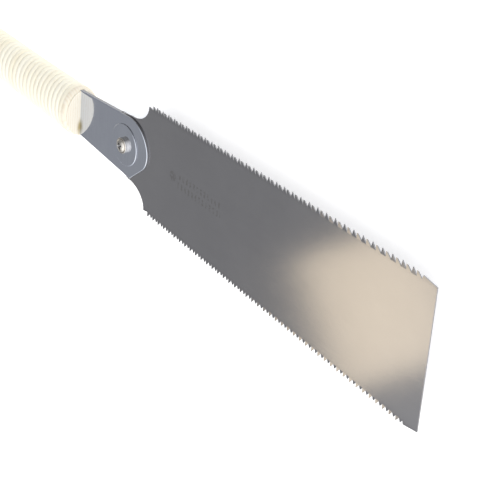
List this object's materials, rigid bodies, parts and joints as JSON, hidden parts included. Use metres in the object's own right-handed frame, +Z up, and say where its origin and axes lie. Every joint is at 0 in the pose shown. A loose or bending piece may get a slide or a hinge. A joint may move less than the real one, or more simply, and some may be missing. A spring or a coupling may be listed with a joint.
{
  "type": "japanese pull saw",
  "caption": "Double-edged pull saw with a changeable blade screwed into a folded steel holder, and a straight oval handle wound with cane.",
  "frame": {"origin": "on the surface that the saw lies on, under the middle of its whole length and width", "axes": "+X from the handle's butt to the blade's tip, +Y from the crosscut teeth to the rip teeth, +Z up, square to the blade's plane, on the screw head's side"},
  "size_m": [0.6, 0.0863, 0.0255],
  "materials": {
    "blade_steel": "fine ground steel, satin",
    "holder_steel": "polished",
    "plated_screw": "bright plated",
    "plain_steel": "plain drawn wire",
    "handle_wood": "bare, sanded",
    "cane": "natural cane, slightly glossy skin"
  },
  "bodies": {
    "handle": {"blade_holder": "holder_steel", "clamp_nut": "plated_screw", "handle_half_upper": "handle_wood", "handle_half_under": "handle_wood", "tang_pins": "plain_steel", "cane_winding": "cane", "cane_tacks": "plain_steel"},
    "blade": {"blade": "blade_steel"},
    "washer": {"lock_washer": "plated_screw"},
    "screw": {"clamp_screw": "plated_screw"}
  },
  "joints": [
    {"name": "blade_slide", "type": "slide", "parent": "handle", "child": "blade", "axis": [1, 0, 0], "range_m": [0, 0.06]},
    {"name": "screw_lift", "type": "slide", "parent": "handle", "child": "washer", "axis": [0, 0, 1], "range_m": [0, 0.0024]},
    {"name": "screw_turn", "type": "hinge", "parent": "washer", "child": "screw", "pos_m": [0.04, 0.0004, 0.01277], "axis": [0, 0, 1], "range_deg": [0, 1100]}
  ],
  "couplings": [
    {"joint": "screw_turn", "follows": "screw_lift", "rad_per_m": 7854}
  ]
}
